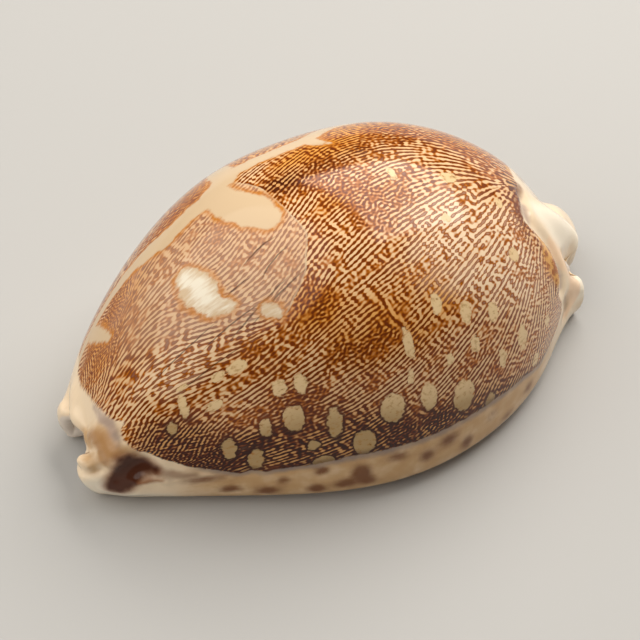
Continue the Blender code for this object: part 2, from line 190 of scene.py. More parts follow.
# Forms of the two ends, as soft ridges and grooves along strokes on the surface, in millimetres:
# how far they stand out, how wide they are, and their points
END_FORMS = (
    (-1.7, 1.0, ((-39.0, -2.8, 6.4), (-38.5, -3.6, 7.8), (-38.0, -4.6, 8.4), (-37.8, -6.0, 8.4),
                 (-37.7, -7.8, 7.4))),
    (-0.9, 0.7, ((-36.8, 5.4, 8.4), (-37.5, 3.7, 7.9), (-37.8, 2.6, 7.7), (-37.9, 1.9, 6.8))),
    (0.6, 1.3, ((-36.2, 4.2, 9.6), (-36.8, 2.4, 9.0), (-37.0, 0.6, 8.4))),
    (-1.7, 1.4, ((-37.6, 1.6, 4.9), (-37.8, 1.9, 4.0), (-37.4, 2.2, 2.6))),
    (-0.5, 0.7, ((-39.8, -5.6, 6.3), (-38.5, -7.4, 6.5), (-37.1, -8.8, 6.7))),
    (0.6, 0.9, ((-39.4, -5.1, 7.4), (-38.5, -6.7, 7.5))),
    (0.5, 1.8, ((-36.9, -4.8, 9.7), (-36.8, -6.8, 9.3), (-36.2, -7.9, 9.0))),
    (-1.1, 1.5, ((-36.8, -9.3, 5.6), (-35.7, -9.9, 6.8), (-34.3, -10.1, 8.0), (-32.4, -10.5, 9.0))),
    (-0.3, 1.2, ((-35.8, -10.1, 5.5), (-34.0, -10.7, 6.2), (-32.0, -11.3, 7.2), (-29.5, -12.3, 7.8))),
    (0.5, 0.6, ((-33.7, -10.9, 5.9), (-32.3, -11.2, 6.4), (-31.0, -11.6, 6.6), (-30.0, -12.2, 5.6))),
    (0.4, 0.9, ((-37.6, -9.1, 3.4), (-35.8, -10.2, 3.3), (-33.5, -11.2, 3.4), (-30.0, -12.8, 3.4))),
    (-1.9, 1.2, ((35.0, -4.8, 8.2), (34.6, -5.6, 8.8), (33.8, -6.2, 10.4))),
    (-0.9, 0.9, ((27.3, -2.8, 24.6), (26.4, -6.3, 24.7), (27.0, -7.7, 22.4), (28.6, -7.9, 19.6),
                 (29.9, -8.5, 16.6), (30.6, -9.2, 13.4), (30.2, -10.2, 11.2))),
    (0.4, 0.9, ((26.3, -8.4, 22.9), (27.9, -9.2, 19.6), (28.6, -10.0, 16.6), (28.9, -10.9, 14.0))),
    (-0.5, 0.8, ((34.6, -3.6, 10.4), (33.6, -5.0, 11.6), (32.6, -6.0, 13.0))),
    (-0.5, 0.9, ((31.6, -9.6, 8.0), (32.0, -9.2, 6.4), (31.2, -10.0, 4.8))),
)

# The posterior lobe as a rounded bar along its middle line: place in millimetres and half width. The
# shell swells to it in steps along a fixed way, on the side that faces that way, and is then smoothed.
LOBE = (
    (28.8, -2.8, 20.7, 1.7), (31.0, -2.8, 16.9, 2.4), (33.4, -1.7, 13.3, 2.5), (35.2, -1.5, 10.3, 2.1),
    (35.9, -2.0, 8.2, 1.4),
)
LOBE_WAY = np.array((0.75, -0.1, 0.65))
LOBE_STEPS = 16
LOBE_ROUNDS = 22
LOBE_REACH = 1.6
LOBE_SIDE = (-0.1, 0.4)
FORM_ROUNDS = 5
FORM_TRACE = 0.0001

# Colours of the two ends, painted as strokes: a name, then strokes of place in millimetres and half width
END_PAINT = (
    # Painted shade: a darker tan on the near side of the nose
    ("nose_painted_shade", (
        ((-36.8, -3.6, 9.6, 0.4), (-36.2, -5.5, 10.3, 1.2), (-36.0, -6.9, 10.0, 1.3),
         (-35.2, -7.9, 10.2, 0.9)),
        ((-36.0, -6.9, 10.0, 1.2), (-36.9, -7.4, 8.8, 1.0)),
    )),
    ("stain", (
        ((-31.0, -11.6, 7.2, 0.3), (-29.3, -12.4, 6.8, 0.6), (-27.9, -13.1, 6.6, 0.5),
         (-26.5, -13.8, 6.8, 0.3)),
    )),
    ("fold", (
        ((-33.3, -11.0, 5.7, 0.2), (-32.4, -11.3, 5.8, 0.5), (-31.4, -11.5, 5.9, 0.4),
         (-30.5, -11.9, 6.0, 0.2)),
    )),
    ("ochre", (
        ((-34.4, -8.7, 10.3, 0.5), (-33.5, -9.1, 10.7, 0.5), (-33.3, -9.7, 9.8, 0.4)),
        ((-38.5, -5.6, 7.8, 0.5), (-38.3, -6.6, 7.6, 0.4), (-38.6, -7.4, 6.7, 0.3)),
        ((-37.6, -1.8, 8.0, 0.7), (-37.4, -3.4, 8.8, 0.7)),
    )),
    # Grey-lilac paint: a painted sheen at the anterior end next to the pattern's edge, and painted shade in
    # two grooves of the posterior end
    ("lilac", (
        ((-35.2, -1.1, 11.6, 0.3), (-35.2, -3.0, 11.9, 0.6), (-34.7, -5.1, 12.5, 0.8),
         (-34.8, -6.3, 11.8, 0.7), (-34.5, -7.2, 11.6, 0.4)),
        ((27.1, -4.2, 24.4, 0.4), (26.7, -5.5, 24.3, 0.5), (26.7, -6.6, 23.7, 0.35)),
        ((30.3, -8.9, 14.6, 0.4), (30.7, -9.2, 12.6, 0.5), (30.5, -9.8, 11.2, 0.3)),
    )),
    ("crescent", (
        ((26.2, -7.6, 23.8, 0.3), (26.9, -8.5, 22.0, 0.8), (27.4, -9.3, 20.2, 1.3), (27.9, -9.9, 18.2, 1.5),
         (28.4, -10.4, 16.3, 1.4), (28.6, -10.9, 14.8, 0.8)),
        ((27.4, 1.6, 24.6, 0.5), (28.0, 5.0, 22.6, 0.9), (28.4, 8.0, 20.0, 1.0)),
    )),
    ("dark_rim", (
        ((27.7, -1.2, 24.4, 0.4), (26.3, -3.2, 25.7, 0.9), (25.1, -5.5, 26.2, 0.7), (24.5, -7.0, 26.1, 0.4),
         (24.3, -7.7, 25.9, 0.2)),
        ((29.2, 2.4, 21.4, 0.6), (30.4, 3.6, 19.0, 0.5)),
    )),
    ("flesh", (
        ((29.4, -7.0, 18.6, 0.5), (30.4, -7.4, 16.4, 1.0), (31.6, -7.2, 13.6, 1.3), (32.6, -6.9, 12.1, 1.3),
         (33.3, -7.2, 9.8, 1.4), (33.6, -7.8, 8.0, 1.8), (33.0, -8.3, 6.4, 1.8), (31.5, -9.5, 5.3, 1.2)),
    )),
    # White paint, partly the posterior lobe's own white and partly painted light: a highlight along the lobe,
    # a lighter lobe tip, and a lighter anterior flange
    ("lobe", (
        ((28.8, -4.0, 22.4, 0.6), (31.6, -4.4, 18.6, 1.8), (34.0, -3.6, 14.6, 2.2),
         (36.2, -2.4, 10.8, 2.0)),
        ((33.6, -10.0, 6.6, 0.8), (35.0, -8.0, 6.2, 1.6), (36.4, -5.6, 5.0, 1.4)),
        ((-38.8, -8.0, 3.6, 1.6), (-37.0, -9.4, 2.6, 1.4), (-34.0, -11.4, 2.2, 1.2),
         (-30.0, -13.4, 2.0, 0.8)),
    )),
    ("olive", (
        ((31.6, -9.4, 7.6, 0.4), (31.8, -9.2, 6.1, 0.6), (31.0, -10.0, 5.4, 0.5)),
    )),
)

# The dark hollow of the anterior end, as round spots that run together: place in millimetres and size. Its
# dark brown is partly the shell's own colour and partly painted shade in the hollow.
HOLLOW_SPOTS = (
    (-36.9, -9.1, 4.3, 0.6), (-36.5, -9.5, 5.0, 0.9), (-36.1, -9.7, 5.9, 1.0), (-35.5, -9.9, 6.8, 1.1),
    (-35.0, -9.9, 7.6, 1.2), (-34.0, -10.1, 8.2, 1.3), (-33.0, -10.5, 8.1, 1.1), (-32.1, -10.9, 7.9, 0.8),
    (-31.2, -11.4, 7.6, 0.5), (-36.0, -9.8, 4.5, 0.9), (-35.2, -10.4, 5.2, 1.0), (-34.4, -10.7, 6.2, 0.9),
    (-33.5, -10.9, 7.0, 0.7), (-35.1, -9.0, 9.3, 0.4), (-34.2, -9.6, 9.4, 0.6),
)
HOLLOW_BLEND = 1.4

# Brown blotches on the margins: place along, place across, half width, half height, strength
MARGIN_BLOTCHES = (
    (-25.5, -42.4, 3.0, 1.2, 0.8), (-22.5, -46.3, 1.7, 1.2, 0.9), (-18.1, -47.2, 1.6, 1.3, 0.9),
    (-16.1, -44.7, 1.0, 1.0, 0.7), (-12.1, -47.1, 1.4, 1.1, 0.9), (-11.4, -43.2, 1.2, 1.0, 1.0),
    (-6.3, -44.6, 1.4, 1.6, 1.1), (-5.3, -46.5, 1.4, 1.0, 0.6), (-8.5, -46.4, 1.3, 1.0, 0.9),
    (-1.5, -42.7, 1.6, 1.1, 0.8), (2.7, -44.4, 1.2, 1.2, 0.9), (6.1, -43.2, 1.6, 1.2, 0.9),
    (9.1, -45.6, 1.1, 1.3, 0.9), (13.4, -43.8, 1.3, 1.2, 0.6), (16.4, -46.8, 1.3, 1.2, 0.5),
    (20.6, -45.2, 1.2, 1.2, 0.6), (0.6, -48.4, 1.5, 1.2, 0.6),
    (-22, 46, 2, 1.6, 0.8), (-16, 48, 1.6, 1.4, 0.7), (-10, 45.6, 1.8, 1.6, 0.9), (-4, 48, 1.6, 1.3, 0.7),
    (2, 46, 1.9, 1.7, 0.9), (8, 48.4, 1.5, 1.3, 0.7), (13, 46.2, 1.8, 1.5, 0.8), (19, 47, 1.6, 1.4, 0.8),
)

# Soft spots where the pattern is more amber, darker, paler or more of a maze, laid out in the same way
AMBER_SPOTS = (
    (0, 7.5, 7, 2.6, 0.9), (-1, -2, 5, 3, 0.45), (-9, -14.5, 4, 2.8, 1.0), (-1, -20, 9, 6, 0.75),
    (-30, 8, 5, 6, 0.6), (-25, 10, 4, 3, 0.8), (-18, 14, 5, 3.5, 0.7), (-13.5, 14.5, 2.2, 3, 1.2),
    (-18, 4, 5, 2.5, 0.35), (-33, 2, 2.5, 12, 0.6), (8, 12, 6, 3, 0.9), (22, 6, 5, 4, 0.9),
    (-15, -24.5, 3, 2, 0.4), (-20, -18.5, 3, 1.6, 0.45), (27.5, -20, 1.6, 6, 0.8), (6, -4, 3, 2, 0.3),
    (8, -21, 2.5, 2.5, 0.5), (-4, 15, 5, 2, 0.7), (6, 8, 8, 4, 0.5), (16, 11, 8, 3, 0.5),
    (-17, 28, 12, 9, 0.55), (10, 26, 12, 9, 0.6), (22, 20, 5, 10, 0.6),
)
DARK_SPOTS = (
    (-30, -26, 4.5, 7, 0.6), (1, 4, 9, 4, 0.45), (14, 5, 9, 4, 0.35), (-20, -38, 12, 7, 0.9),
    (-4, -38, 12, 6, 0.75), (10, -40, 10, 4, 0.7), (-28, -32, 5, 8, 0.6), (-3, -22, 8, 5, 0.3),
    (-9, -14.5, 4, 2.6, 0.4), (24.5, -12, 2, 6, 0.5), (26.5, -4, 2, 5, 0.6),
    (-14, 39, 16, 6, 0.8), (8, 39, 14, 6, 0.8), (-5, 4, 4, 2, 0.4), (-12, -28, 10, 6, 0.3),
)
PALE_SPOTS = (
    (15, -14, 9, 8, 1.2), (-22, 3, 6, 5, 0.5), (-14, -8, 7, 6, 0.35), (10, 2, 8, 3, 0.35),
    (22, -26, 5, 9, 0.5), (-27, -13, 7, 6, 0.55), (14, 25, 9, 9, 0.4),
)
MAZE_SPOTS = (
    (4, -5, 5, 2.5, 1.0), (1, 2, 3.5, 3, 1.0), (-14, -28, 6, 3, 0.9), (-24, -36, 7, 4, 1.0),
    (4, -38, 6, 2.5, 0.8), (12, -31, 4, 3, 0.7), (-16, -17.5, 3, 2, 0.9), (-3, -22.5, 5, 2, 0.8),
    (-30, 8, 4, 8, 1.0), (-18, 14, 8, 4, 1.0), (23, -12, 3, 5, 0.6), (-16, 3, 4, 3, 0.5),
    (14, 8, 9, 4, 0.9), (-9, -14, 4, 3, 0.8), (-12, -5, 4, 3, 0.35), (24, 3, 4, 4, 0.8),
)
SPOTS = {
    "blotches": MARGIN_BLOTCHES,
    "amber": AMBER_SPOTS,
    "dark": DARK_SPOTS,
    "pale": PALE_SPOTS,
    "maze": MAZE_SPOTS,
}

# Where the callus has its deeper tan, partly the margin's own fawn and partly painted shade of the near,
# lower side: across the near margin, towards its two ends, and on the nose, where it is painted shade
MARGIN_SHADE = (-20, -44)
MARGIN_SHADE_ENDS = (-33, -21), (32, 20)
NOSE_SHADE = (-36, -19, 2.2, 9, 1.0)

# Where along the shell the worn facet's edge turns from soft to sharp, and its least sharpness
WEAR_RANGE = (-30, -13)
LEAST_WEAR = 0.25

# Fine cracks in the worn facet, drawn dark as painted shadows of their creases: place along, place across,
# how steeply they climb, half length
CRACK_SHADOWS = (
    (-14.8, -11.3, 25, 5.5), (-12.1, -11.1, 23, 5.0), (-18.2, -11.4, 12, 4.5), (-24.7, -11.0, 18, 4.7),
    (-22.9, -16.4, 16, 5.0), (-12.0, -3.8, 15, 2.7), (-10.9, -6.4, 26, 2.8), (-16.6, -7.0, 12, 2.4),
)
CRACK_WIDTH = 0.15
CRACK_BEND = 0.35

# The studio: lights with their name, shape, place, size, brightness and tint, the floor and the camera
SOFTBOXES = (
    ("round_softbox", "ELLIPSE", (-0.65, 0.10, 0.50), (1.35, 1.35), 1.6, (1.0, 0.97, 0.91)),
    ("right_softbox", "RECTANGLE", (0.52, 0.25, 0.50), (0.75, 0.70), 5.3, (1.0, 0.97, 0.92)),
)
STUDIO_TINT = (1.0, 0.98, 0.95, 1.0)
STUDIO_BRIGHTNESS = 0.13
FLOOR_SIZE = 3.0
FLOOR_ROUGHNESS = 0.8
CAMERA_AIM = Vector((-0.00126, -0.00044, 0.016))
CAMERA_AZIMUTH = math.radians(-26.11)
CAMERA_ELEVATION = math.radians(50)
CAMERA_DISTANCE = 0.45
CAMERA_LENS = 189.3
CAMERA_FRAMING = Vector((-0.000448, -0.00322))


def colour(red, green, blue):
    """A colour as it is seen on a screen, 0 to 255, in the numbers that a material takes."""
    parts = (red / 255, green / 255, blue / 255)
    linear = [part / 12.92 if part <= 0.04045 else ((part + 0.055) / 1.055) ** 2.4 for part in parts]
    return (*linear, 1.0)


CREAM = colour(212, 184, 148)
BLEACHED_WHITE = colour(240, 229, 208)
PALE_CELL = colour(230, 192, 146)
LIGHT_CELL = colour(242, 214, 180)
GOLD_CELL = colour(222, 156, 72)
DUSK_CELL = colour(208, 154, 92)
EDGE_AMBER = colour(180, 100, 18)
LINE_BROWN = colour(114, 48, 4)
DARK_BROWN = colour(52, 14, 0)
DASH_BROWN = colour(180, 134, 106)
GOLD = colour(196, 120, 30)
WINDOW_CREAM = colour(230, 198, 150)
WINDOW_TAN = colour(182, 150, 102)
WINDOW_STAIN = colour(168, 116, 46)
WORN_PINK = colour(206, 166, 136)
CALLUS_CREAM = colour(240, 216, 184)
# The lobes' own white, also used as painted light
LOBE_WHITE_AND_LIGHT = colour(255, 242, 220)
INNER_WHITE = colour(226, 212, 198)
CALLUS_TAN = colour(200, 160, 112)
CALLUS_FLESH = colour(246, 208, 170)
BLOTCH_BROWN = colour(104, 48, 8)
# Dark brown and rust of the anterior hollow, partly its own colour and partly painted shade
HOLLOW_BROWN_AND_SHADE = colour(66, 26, 8)
HOLLOW_RUST_AND_SHADE = colour(126, 66, 28)
FOLD_AMBER = colour(158, 92, 40)
OCHRE = colour(170, 120, 46)
# Painted shade on the near side of the nose
PAINTED_NOSE_SHADE = colour(170, 124, 78)
# A grey-lilac painted sheen and painted shade
LILAC_SHEEN_AND_SHADE = colour(176, 152, 140)
# Grey-lilac painted shade along the margin's edge
EDGE_SHADE_LILAC = colour(146, 128, 118)
CRESCENT_AMBER = colour(164, 88, 20)
CRESCENT_GOLD = colour(226, 166, 84)
RIM_BROWN = colour(112, 46, 12)
OLIVE = colour(120, 88, 42)
FLOOR_GREY = colour(180, 178, 175)
POLISH_IOR = 1.36
POLISH_ROUGHNESS = 0.11

# Paints that lie on the callus of the two ends, some of them painted light and shade: name, colour, strength,
# and softness in millimetres
CALLUS_PAINTS = (
    ("lobe", LOBE_WHITE_AND_LIGHT, 0.9, 1.4),
    ("flesh", CALLUS_FLESH, 0.85, 0.6),
    ("lilac", LILAC_SHEEN_AND_SHADE, 0.75, 0.6),
    ("ochre", OCHRE, 0.6, 0.9),
    ("olive", OLIVE, 0.6, 0.6),
    ("nose_painted_shade", PAINTED_NOSE_SHADE, 0.8, 1.0),
    ("stain", BLOTCH_BROWN, 0.6, 0.8),
)


def deselect_all():
    bpy.ops.object.select_all(action="DESELECT")


def take(piece):
    """Makes the piece the only one selected and the active one."""
    deselect_all()
    piece.select_set(True)
    bpy.context.view_layer.objects.active = piece


def smooth_step(low, high, value):
    """0 up to low, 1 from high on, and smooth between them. High may be below low."""
    share = np.clip((value - low) / (high - low), 0.0, 1.0)
    return share * share * (3 - 2 * share)


def copy_of_node(name, piece_name):
    """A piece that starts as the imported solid, with its loose triangles joined up into quads."""
    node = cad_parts[name]
    piece = bpy.data.objects.new(piece_name, node.data.copy())
    piece.data.materials.clear()
    bpy.context.scene.collection.objects.link(piece)
    take(piece)
    bpy.ops.object.mode_set(mode="EDIT")
    bpy.ops.mesh.select_all(action="SELECT")
    bpy.ops.mesh.remove_doubles(threshold=MERGE)
    bpy.ops.mesh.tris_convert_to_quads(
        face_threshold=QUAD_ANGLE, shape_threshold=QUAD_ANGLE, topology_influence=1.0
    )
    bpy.ops.object.mode_set(mode="OBJECT")
    return piece


def smooth(piece):
    """Rounds the facets off."""
    take(piece)
    modifier = piece.modifiers.new("smooth", "SUBSURF")
    modifier.levels = SMOOTH_LEVELS
    modifier.render_levels = SMOOTH_LEVELS
    bpy.ops.object.modifier_apply(modifier=modifier.name)
    bpy.ops.object.shade_smooth()


def points_of(mesh):
    places = np.empty(len(mesh.vertices) * 3, np.float32)
    mesh.vertices.foreach_get("co", places)
    return places.reshape(-1, 3).astype(float)


def normals_of(mesh):
    directions = np.empty(len(mesh.vertices) * 3, np.float32)
    mesh.vertex_normals.foreach_get("vector", directions)
    return directions.reshape(-1, 3).astype(float)


def move_points(mesh, places):
    mesh.vertices.foreach_set("co", places.astype(np.float32).ravel())
    mesh.update()


def raise_points(mesh, points, normals, height):
    """Moves each point out of the surface by its height, but none below the ground."""
    moved = points + normals * height[:, None]
    moved[:, 2] = np.maximum(moved[:, 2], 0.0)
    move_points(mesh, moved)


def soften(piece, chosen, rounds):
    """Smooths the chosen points of the piece."""
    take(piece)
    bpy.ops.object.mode_set(mode="EDIT")
    bpy.ops.mesh.select_all(action="DESELECT")
    bpy.ops.object.mode_set(mode="OBJECT")
    piece.data.vertices.foreach_set("select", chosen)
    bpy.ops.object.mode_set(mode="EDIT")
    bpy.ops.mesh.vertices_smooth(factor=0.5, repeat=rounds)
    bpy.ops.object.mode_set(mode="OBJECT")


def crest_height(points):
    """The back's height over each point's place along the shell."""
    heights = [points[np.abs(points[:, 0] - x) < CREST_REACH, 2].max() for x in CREST_STATIONS]
    return np.interp(points[:, 0], CREST_STATIONS, heights)


def from_middle(points, crest):
    """The way from the shell's middle line out to each point, across and up."""
    return np.column_stack([points[:, 1] - MIDDLE_SIDE, points[:, 2] - MIDDLE_SHARE * crest])


def shell_places(points):
    """Each point's place along and across the shell, in millimetres."""
    side, up = from_middle(points, crest_height(points)).T
    return points[:, 0] * 1000, BACK_RADIUS * np.arctan2(side, up) * 1000


def on_segment(along, across, start, end):
    """How far along a segment each place's nearest point lies, from 0 to 1, and its distance."""
    run, rise = end[0] - start[0], end[1] - start[1]
    share = np.clip(((along - start[0]) * run + (across - start[1]) * rise) / (run**2 + rise**2), 0, 1)
    return share, np.hypot(along - start[0] - share * run, across - start[1] - share * rise)


def line_angles(along, across):
    """The direction in which the pattern's lines run at each place, the same on both sides."""
    folded = MANTLE_MIDDLE - np.abs(across - MANTLE_MIDDLE)
    turned = np.zeros(len(along), complex)
    for stroke in FLOW_STROKES:
        for start, end in zip(stroke, stroke[1:]):
            away = on_segment(along, folded, start, end)[1]
            direction = math.atan2(end[1] - start[1], end[0] - start[0])
            turned += np.exp(2j * direction) / (away**2 + FLOW_REACH**2) ** 2
    return np.angle(turned) / 2 * np.where(across > MANTLE_MIDDLE, -1, 1)


def line_closeness(points, normals, crest, angles):
    """How much closer the lines have to lie, place by place, to keep their spacing on the surface."""
    out = from_middle(points, crest)
    radius = np.linalg.norm(out, axis=1)
    level = np.sqrt(np.clip(1 - normals[:, 0] ** 2, LEAST_LEVEL, 1))
    facing = np.clip((normals[:, 1:] * out).sum(axis=1) / radius / level, LEAST_FACING, 1)
    stretch_along = 1 / level
    stretch_across = radius / BACK_RADIUS / facing
    across_lines = np.sqrt((np.sin(angles) / stretch_along) ** 2 + (np.cos(angles) / stretch_across) ** 2)
    wider = 1 - WIDER_LINES * smooth_step(*WIDER_RANGE, points[:, 0])
    return np.clip(wider / across_lines, *CLOSENESS_LIMITS)


def share_inside(points, normals, crest):
    """1 on the walls inside the shell, which face its middle, and 0 on its outside."""
    out = from_middle(points, crest)
    facing = (normals[:, 1:] * out).sum(axis=1) / np.linalg.norm(out, axis=1)
    return smooth_step(*INSIDE_FACING, facing)


def distance_to_edge(along, across, corners):
    """Distance to a closed outline, in millimetres, positive outside it."""
    best = np.full(len(along), np.inf)
    inside = np.zeros(len(along), bool)
    for start, end in zip(corners, corners[1:] + corners[:1]):
        best = np.minimum(best, on_segment(along, across, start, end)[1])
        rise = end[1] - start[1]
        if rise:
            crosses = (start[1] > across) != (end[1] > across)
            reach = start[0] + (across - start[1]) * (end[0] - start[0]) / rise
            inside ^= crosses & (along < reach)
    return np.where(inside, -best, best)


def distance_to_strokes(along, across, strokes):
    """Distance to strokes that change width along their way, in millimetres, negative inside."""
    best = np.full(len(along), np.inf)
    for stroke in strokes:
        for start, end in zip(stroke, stroke[1:]):
            share, away = on_segment(along, across, start, end)
            best = np.minimum(best, away - start[2] - (end[2] - start[2]) * share)
    return best


def distance_to_lines(points, strokes):
    """Distance to strokes in space, in millimetres, less their half width where they have one."""
    best = np.full(len(points), np.inf)
    for stroke in strokes:
        for start, end in zip(stroke, stroke[1:]):
            first, last = np.array(start[:3]), np.array(end[:3])
            run = last - first
            share = np.clip((points - first) @ run / (run @ run), 0, 1)
            away = np.linalg.norm(points - first - share[:, None] * run, axis=1)
            if len(start) == 4:
                away = away - start[3] - (end[3] - start[3]) * share
            best = np.minimum(best, away)
    return best


def sum_of_spots(along, across, spots):
    """Soft spots of colour: place along, place across, half width, half height, strength."""
    total = np.zeros(len(along))
    for x, y, width, height, strength in spots:
        total += strength * np.exp(-(((along - x) / width) ** 2) - ((across - y) / height) ** 2)
    return total


def margin_shade(along, across):
    """How far the callus has its deeper tan, from 0 to 1: along the near margin, less towards the ends, with
    a spot on the nose. It is partly the callus's own fawn and partly painted shade.
    """
    low = smooth_step(*MARGIN_SHADE, across)
    for end_range in MARGIN_SHADE_ENDS:
        low = low * smooth_step(*end_range, along)
    return np.clip(low + sum_of_spots(along, across, (NOSE_SHADE,)), 0, 1)


def aperture_middle(x):
    """The aperture's middle line, which bends to the inner side at both ends."""
    bend = 0
    for depth, end_range in (ANTERIOR_BEND, POSTERIOR_BEND):
        bend = bend + depth * smooth_step(*end_range, x)
    return GAP_SIDE + BOW * np.cos(x / BOW_LENGTH) - bend


def sharpen_teeth(piece):
    """Raises the teeth again where smoothing took them down."""
    points, normals = points_of(piece.data), normals_of(piece.data)
    x, y, z = points.T
    outward = np.abs(y - aperture_middle(x)) - HALF_GAP
    on_lip = smooth_step(*LIP_HEIGHTS, z) * smooth_step(*LIP_WIDTHS, outward)
    fade = 1 - smooth_step(*TOOTH_FADE, np.abs(x))
    phase = np.cos(2 * np.pi * (x - TOOTH_START) / TOOTH_PITCH)
    raise_points(piece.data, points, normals, TOOTH_HEIGHT / 2 * phase * on_lip * fade)


def shape_ends(piece):
    """Raises the ridges and folds of the two ends and sinks their grooves and hollows."""
    points, normals = points_of(piece.data), normals_of(piece.data)
    height = np.zeros(len(points))
    for stands_out, width, stroke in END_FORMS:
        away = distance_to_lines(points * 1000, (stroke,))
        height += stands_out / 1000 * np.exp(-((away / width) ** 2))
    raise_points(piece.data, points, normals, height)
    soften(piece, np.abs(height) > FORM_TRACE, FORM_ROUNDS)


def past_lobe(points):
    """Each point's distance to the skin of the posterior lobe, in millimetres, below zero inside it."""
    return distance_to_lines(points, (LOBE,))


def fill_lobe(piece):
    """Swells the outside of the posterior lobe to the skin of its rounded form, then smooths it."""
    points, normals = points_of(piece.data) * 1000, normals_of(piece.data)
    swollen = points.copy()
    for _ in range(LOBE_STEPS):
        swollen += np.maximum(-past_lobe(swollen), 0)[:, None] * LOBE_WAY
    outer = smooth_step(*LOBE_SIDE, normals @ LOBE_WAY)
    chosen = (past_lobe(points) < LOBE_REACH) & (outer > 0)
    move_points(piece.data, (points + (swollen - points) * outer[:, None]) / 1000)
    soften(piece, chosen, LOBE_ROUNDS)


def keep(piece, name, values):
    """Keeps a value for each point of the piece, for its material to read."""
    kind = "FLOAT" if values.ndim == 1 else "FLOAT_VECTOR"
    attribute = piece.data.attributes.new(name, kind, "POINT")
    field = "value" if values.ndim == 1 else "vector"
    attribute.data.foreach_set(field, values.astype(np.float32).ravel())


def keep_surface(shell, along, across):
    """Keeps each point's place on the shell, how the lines run there, and whether it is inside."""
    points, normals = points_of(shell.data), normals_of(shell.data)
    crest = crest_height(points)
    angles = line_angles(along, across)
    flat = np.zeros(len(along))
    keep(shell, "place", np.column_stack([along, across, flat]))
    keep(shell, "run", np.column_stack([np.cos(angles), np.sin(angles), flat]))
    keep(shell, "turn", angles + math.pi / 2)
    keep(shell, "closeness", line_closeness(points, normals, crest, angles))
    keep(shell, "inside", share_inside(points, normals, crest))


def keep_markings(shell, along, across):
    """Keeps each point's distance to the edges of the markings, and how strong each kind of spot is."""
    keep(shell, "past_edge", distance_to_edge(along, across, PATTERN_EDGE))
    keep(shell, "mantle", distance_to_strokes(along, across, MANTLE_LINE))
    keep(shell, "bleach", distance_to_strokes(along, across, BLEACHED))
    keep(shell, "worn", distance_to_edge(along, across, WORN_FACET))
    keep(shell, "wear", smooth_step(*WEAR_RANGE, along) * (1 - LEAST_WEAR) + LEAST_WEAR)
    keep(shell, "shade", margin_shade(along, across))
    for name, spots in SPOTS.items():
        keep(shell, name, sum_of_spots(along, across, spots))


def keep_end_paint(shell, body):
    """Keeps each point's place before the ends were shaped, and its distance to each paint of the ends."""
    keep(shell, "body", body)
    for name, strokes in END_PAINT:
        keep(shell, name, distance_to_lines(body, strokes))


def make_shell():
    """The one piece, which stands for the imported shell. Its marks are placed before its ends are shaped."""
    shell = copy_of_node("shell", "cowrie")
    smooth(shell)
    sharpen_teeth(shell)
    plain = points_of(shell.data)
    along, across = shell_places(plain)
    fill_lobe(shell)
    shape_ends(shell)
    keep_surface(shell, along, across)
    keep_markings(shell, along, across)
    keep_end_paint(shell, plain * 1000)
    shell.data.materials.append(shell_material())
    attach(shell, "root")
    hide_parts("shell")


class Link:
    """A value or colour in a material, so that its maths reads as Python."""

    def __init__(self, material, socket):
        self.material = material
        self.socket = socket

    def maths(self, operation, *values, clamp=False):
        return self.material.node("ShaderNodeMath", {"operation": operation, "use_clamp": clamp}, values)

    def __add__(self, other):
        return self.maths("ADD", self, other)

    def __radd__(self, other):
        return self.maths("ADD", other, self)

    def __sub__(self, other):
        return self.maths("SUBTRACT", self, other)

    def __rsub__(self, other):
        return self.maths("SUBTRACT", other, self)

    def __mul__(self, other):
        return self.maths("MULTIPLY", self, other)

    def __rmul__(self, other):
        return self.maths("MULTIPLY", other, self)

    def at_most(self, other):
        return self.maths("MINIMUM", self, other)

    def blended(self, other, reach):
        """The lesser of the two, rounded off where they meet."""
        return self.maths("SMOOTH_MIN", self, other, reach)

    def clamped(self):
        return self.maths("ADD", self, 0.0, clamp=True)

    def step(self, low, high):
        """0 up to low, 1 from high on, and smooth between them. High may be below low."""
        settings = {"interpolation_type": "SMOOTHSTEP"}
        if low < high:
            return self.material.node("ShaderNodeMapRange", settings, (self, low, high, 0.0, 1.0))
        return self.material.node("ShaderNodeMapRange", settings, (self, high, low, 1.0, 0.0))


